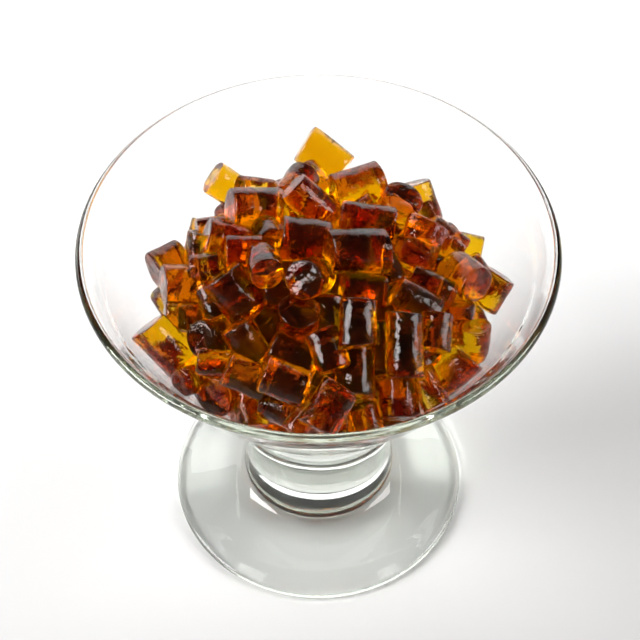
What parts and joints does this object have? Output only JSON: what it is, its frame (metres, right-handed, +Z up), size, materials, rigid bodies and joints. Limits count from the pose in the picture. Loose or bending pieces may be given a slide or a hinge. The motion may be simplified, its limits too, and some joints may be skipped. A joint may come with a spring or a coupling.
{
  "type": "bowl of kanten jelly",
  "caption": "Footed clear glass coupe heaped above the rim with short cut cylinders of amber kanten jelly.",
  "frame": {"origin": "on the table under the middle of the coupe's foot", "axes": "+Z up along the axis of the glass, -Y towards the viewer of the picture, +X to the viewer's right"},
  "size_m": [0.12, 0.12, 0.119],
  "materials": {
    "clear_glass": "clear polished glass, faintly green in the thick of the wall",
    "amber_jelly": "wet clear jelly, gold where thin and dark brown where thick"
  },
  "bodies": {
    "root": {"glass_coupe": "clear_glass", "jelly_heap": "amber_jelly"}
  },
  "joints": []
}
